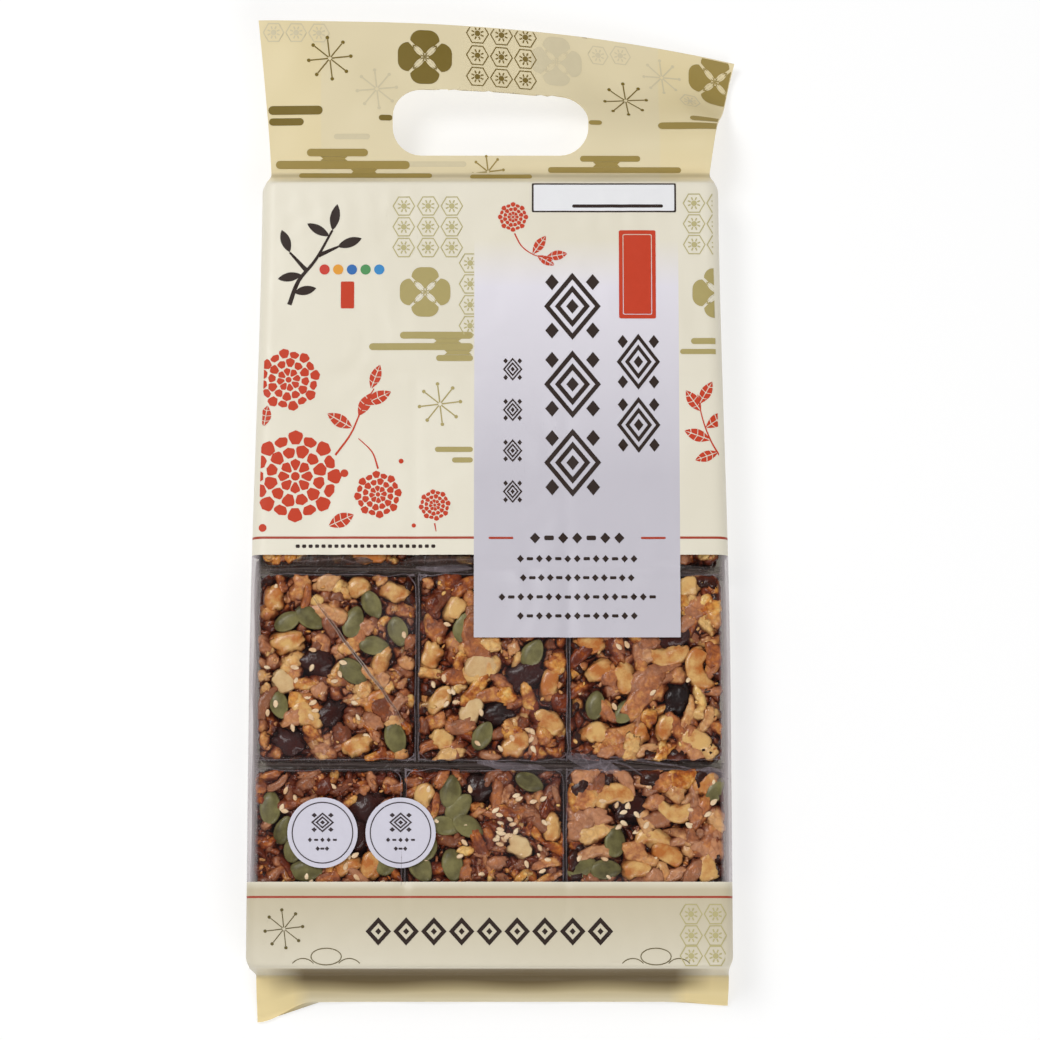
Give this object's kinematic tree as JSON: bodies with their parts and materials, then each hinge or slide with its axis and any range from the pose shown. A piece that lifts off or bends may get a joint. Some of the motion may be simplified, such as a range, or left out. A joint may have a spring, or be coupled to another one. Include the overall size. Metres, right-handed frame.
{
  "type": "sachima pack",
  "caption": "Sealed flat gusset bag of wrapped sachima blocks lying on its back, with a clear window and a carry-hole header.",
  "frame": {"origin": "on the ground below the middle of the bounding box, with the pack lying on its back", "axes": "+X across the pack, +Y from the bottom seal to the carry header, +Z out of the printed front"},
  "size_m": [0.1604, 0.3296, 0.026],
  "materials": {
    "printed_film": "satin",
    "sachima": "sticky, under clear film"
  },
  "bodies": {
    "root": {"bag": "printed_film", "sachima_2_1": "sachima", "sachima_2_2": "sachima", "sachima_2_3": "sachima", "sachima_3_1": "sachima", "sachima_3_2": "sachima", "sachima_3_3": "sachima", "sachima_4_1": "sachima", "sachima_4_2": "sachima", "sachima_4_3": "sachima"}
  },
  "joints": []
}
